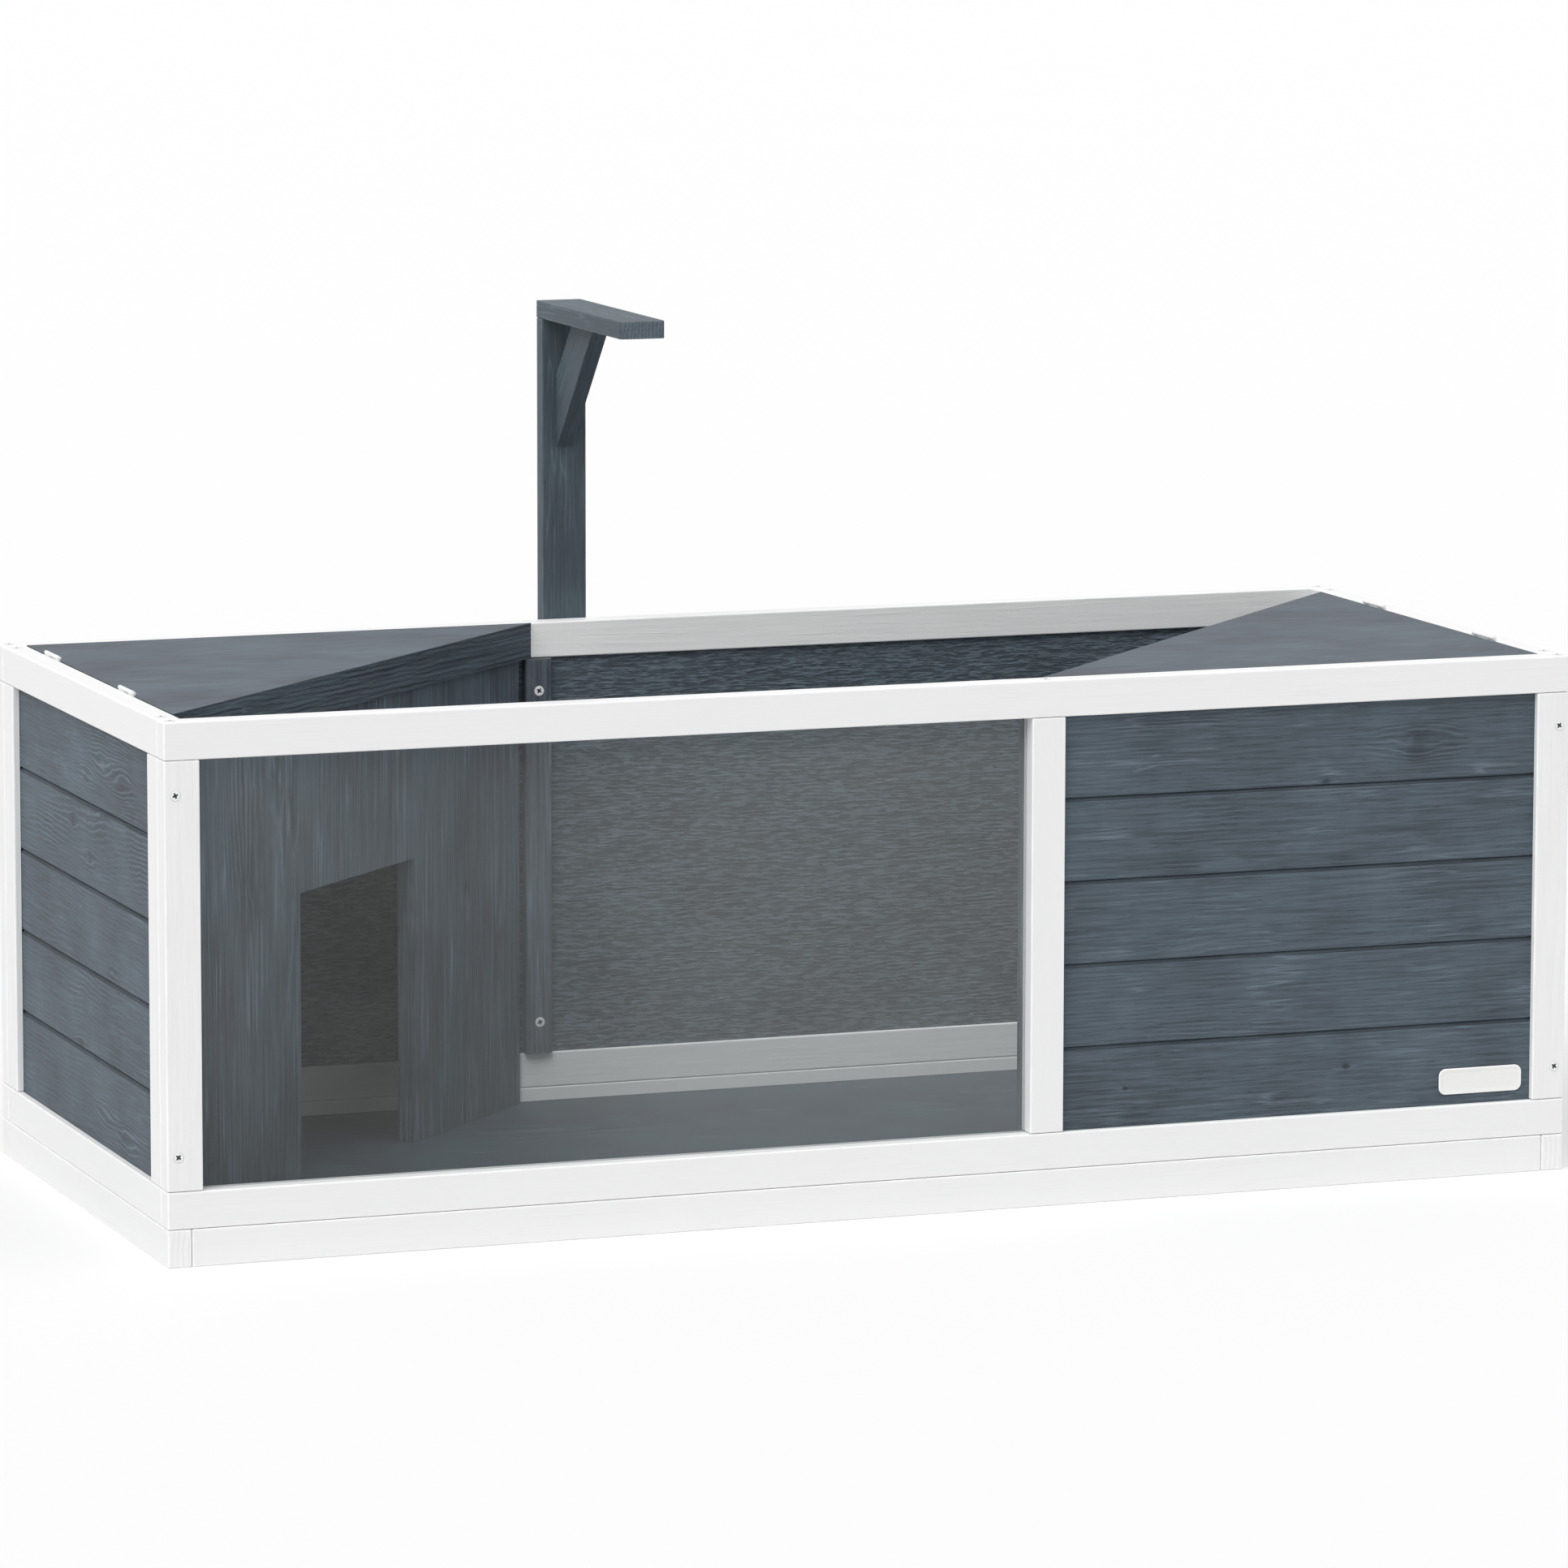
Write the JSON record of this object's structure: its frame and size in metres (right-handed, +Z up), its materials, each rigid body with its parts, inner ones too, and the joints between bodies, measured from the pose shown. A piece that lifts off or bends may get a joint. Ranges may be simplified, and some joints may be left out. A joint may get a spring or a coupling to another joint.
{
  "type": "tortoise house",
  "caption": "Low framed timber pet house with a clear window, an open run, two corner hides under triangular hinged lids and a lamp hanger.",
  "frame": {"origin": "on the ground, below the middle of the outline in plan", "axes": "+X along the long front towards the boarded bay, +Y from the windowed front to the back with the lamp hanger, +Z up"},
  "size_m": [1, 0.4324, 0.5839],
  "materials": {
    "white_frame": "white satin paint on planed softwood",
    "slate_boards": "slate blue-grey stain, brushed grain, matt",
    "hide_timber": "dark slate stain, upright grain, matt",
    "lid_timber": "slate stain, satin on top and dark on the battens",
    "lamp_timber": "dark slate stain, matt",
    "floor_sheet": "dark stained plywood, matt",
    "clear_pane": "clear acrylic, smooth, a little hazy",
    "zinc_hinge": "bright zinc plated steel"
  },
  "bodies": {
    "house": {"plinth_left": "white_frame", "plinth_right": "white_frame", "plinth_front": "white_frame", "plinth_back": "white_frame", "front_top_rail": "white_frame", "front_bottom_rail": "white_frame", "front_left_stile": "white_frame", "front_middle_post": "white_frame", "front_right_stile": "white_frame", "back_top_rail": "white_frame", "back_bottom_rail": "white_frame", "back_left_stile": "white_frame", "back_right_stile": "white_frame", "left_top_rail": "white_frame", "left_bottom_rail": "white_frame", "left_front_stile": "white_frame", "left_back_stile": "white_frame", "right_top_rail": "white_frame", "right_bottom_rail": "white_frame", "right_front_stile": "white_frame", "right_back_stile": "white_frame", "front_board_1": "slate_boards", "front_board_2": "slate_boards", "front_board_3": "slate_boards", "front_board_4": "slate_boards", "front_board_5": "slate_boards", "left_board_1": "slate_boards", "left_board_2": "slate_boards", "left_board_3": "slate_boards", "left_board_4": "slate_boards", "left_board_5": "slate_boards", "right_board_1": "slate_boards", "right_board_2": "slate_boards", "right_board_3": "slate_boards", "right_board_4": "slate_boards", "right_board_5": "slate_boards", "back_board": "slate_boards", "left_hide_wall": "hide_timber", "right_hide_wall": "hide_timber", "left_wall_cleat": "hide_timber", "right_wall_cleat": "hide_timber", "lamp_post": "lamp_timber", "lamp_arm": "lamp_timber", "lamp_brace": "lamp_timber", "floor_panel": "floor_sheet", "window_pane": "clear_pane", "left_front_hinge_rail_leaf": "zinc_hinge", "left_rear_hinge_rail_leaf": "zinc_hinge", "right_front_hinge_rail_leaf": "zinc_hinge", "right_rear_hinge_rail_leaf": "zinc_hinge"},
    "left_lid": {"left_lid_panel": "lid_timber", "left_lid_front_batten": "lid_timber", "left_lid_hinge_batten": "lid_timber", "left_front_hinge_lid_leaf": "zinc_hinge", "left_rear_hinge_lid_leaf": "zinc_hinge"},
    "right_lid": {"right_lid_panel": "lid_timber", "right_lid_front_batten": "lid_timber", "right_lid_hinge_batten": "lid_timber", "right_front_hinge_lid_leaf": "zinc_hinge", "right_rear_hinge_lid_leaf": "zinc_hinge"}
  },
  "joints": [
    {"name": "left_lid_hinge", "type": "hinge", "parent": "house", "child": "left_lid", "pos_m": [-0.4835, -0.00615, 0.3602], "axis": [0, -1, 0], "range_deg": [0, 190]},
    {"name": "right_lid_hinge", "type": "hinge", "parent": "house", "child": "right_lid", "pos_m": [0.4835, -0.00615, 0.3602], "axis": [0, 1, 0], "range_deg": [0, 190]}
  ]
}
